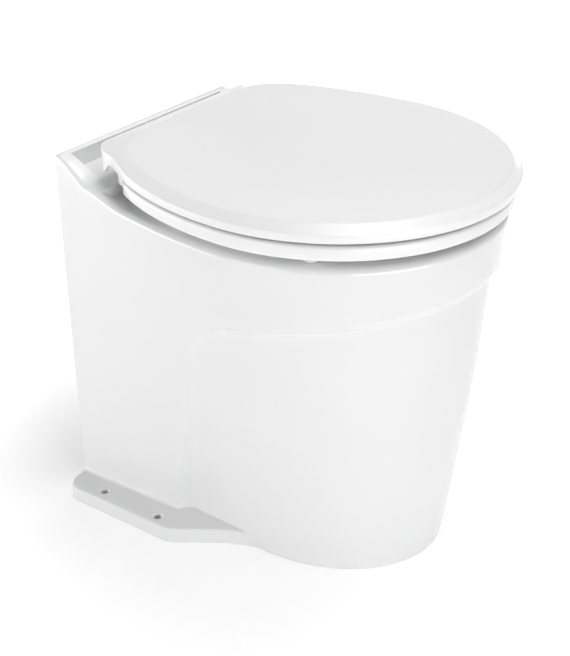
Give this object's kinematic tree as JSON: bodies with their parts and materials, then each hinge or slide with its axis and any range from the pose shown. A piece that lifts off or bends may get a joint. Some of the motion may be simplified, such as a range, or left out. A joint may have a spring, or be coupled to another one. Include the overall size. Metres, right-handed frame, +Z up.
{
  "type": "marine toilet",
  "caption": "Compact electric marine toilet: glazed ceramic pan with a floor flange, hinged seat ring and lid, and a macerator pump inside its base.",
  "frame": {"origin": "centre of the footprint on the floor plane, below the middle of the overall box", "axes": "+Z up, +Y to the rear face that stands at the bulkhead, the front points to -Y, +X to the discharge side"},
  "size_m": [0.37, 0.435, 0.4319],
  "materials": {
    "glazed_ceramic": "glossy white glaze",
    "seat_plastic": "glossy white",
    "pale_rubber": "satin, pale",
    "stainless_steel": "plain",
    "grey_plastic": "matt grey",
    "black_plastic": "matt black",
    "rubber": "matt black",
    "motor_paint": "satin dark paint",
    "ferrite": "matt dark grey",
    "winding_copper": "varnished copper winding"
  },
  "bodies": {
    "toilet_pan": {"pan": "glazed_ceramic", "bowl": "glazed_ceramic", "hinge_post_left": "seat_plastic", "hinge_post_right": "seat_plastic", "hinge_wing_nut_left": "seat_plastic", "hinge_wing_nut_right": "seat_plastic", "hinge_pin_left": "stainless_steel", "hinge_pin_right": "stainless_steel", "hinge_stud_left": "stainless_steel", "hinge_stud_right": "stainless_steel", "hose_clip": "stainless_steel", "chopper_plate": "stainless_steel", "front_bearing": "stainless_steel", "rear_bearing": "stainless_steel", "discharge_clamp": "stainless_steel", "pump_bracket": "stainless_steel", "pump_bolt_1": "stainless_steel", "pump_bolt_2": "stainless_steel", "pump_bolt_3": "stainless_steel", "pump_bolt_4": "stainless_steel", "pump_nut_1": "stainless_steel", "pump_nut_2": "stainless_steel", "pump_nut_3": "stainless_steel", "pump_nut_4": "stainless_steel", "rinse_nozzle": "grey_plastic", "nozzle_nut": "grey_plastic", "discharge_elbow": "grey_plastic", "inlet_valve": "grey_plastic", "macerator_housing": "black_plastic", "valve_coil": "black_plastic", "terminal_box": "black_plastic", "flush_hose": "rubber", "outlet_gasket": "rubber", "shaft_seal": "rubber", "motor_o_ring": "rubber", "joker_valve": "rubber", "motor_cable": "rubber", "hinge_washer_left": "rubber", "hinge_washer_right": "rubber", "motor_can": "motor_paint", "motor_end_cap": "motor_paint", "magnet_ring": "ferrite"},
    "seat": {"seat_ring": "seat_plastic", "seat_bumper_1": "pale_rubber", "seat_bumper_2": "pale_rubber", "seat_bumper_3": "pale_rubber", "seat_bumper_4": "pale_rubber"},
    "lid": {"lid": "seat_plastic", "lid_bumper_1": "pale_rubber", "lid_bumper_2": "pale_rubber"},
    "pump_rotor": {"pump_shaft": "stainless_steel", "motor_rotor": "winding_copper", "pump_impeller": "black_plastic", "macerator_blade": "stainless_steel", "blade_nut": "stainless_steel"}
  },
  "joints": [
    {"name": "lid_hinge", "type": "hinge", "parent": "toilet_pan", "child": "lid", "pos_m": [0, 0.1555, 0.402], "axis": [-1, 0, 0], "range_deg": [0, 94]},
    {"name": "seat_hinge", "type": "hinge", "parent": "toilet_pan", "child": "seat", "pos_m": [0, 0.1555, 0.402], "axis": [-1, 0, 0], "range_deg": [0, 93]},
    {"name": "pump_rotation", "type": "hinge", "parent": "toilet_pan", "child": "pump_rotor", "pos_m": [0, 0.1, 0.148], "axis": [0, 1, 0], "continuous": true}
  ],
  "couplings": [
    {"joint": "seat_hinge", "follows": "lid_hinge", "ratio": 0.98}
  ]
}
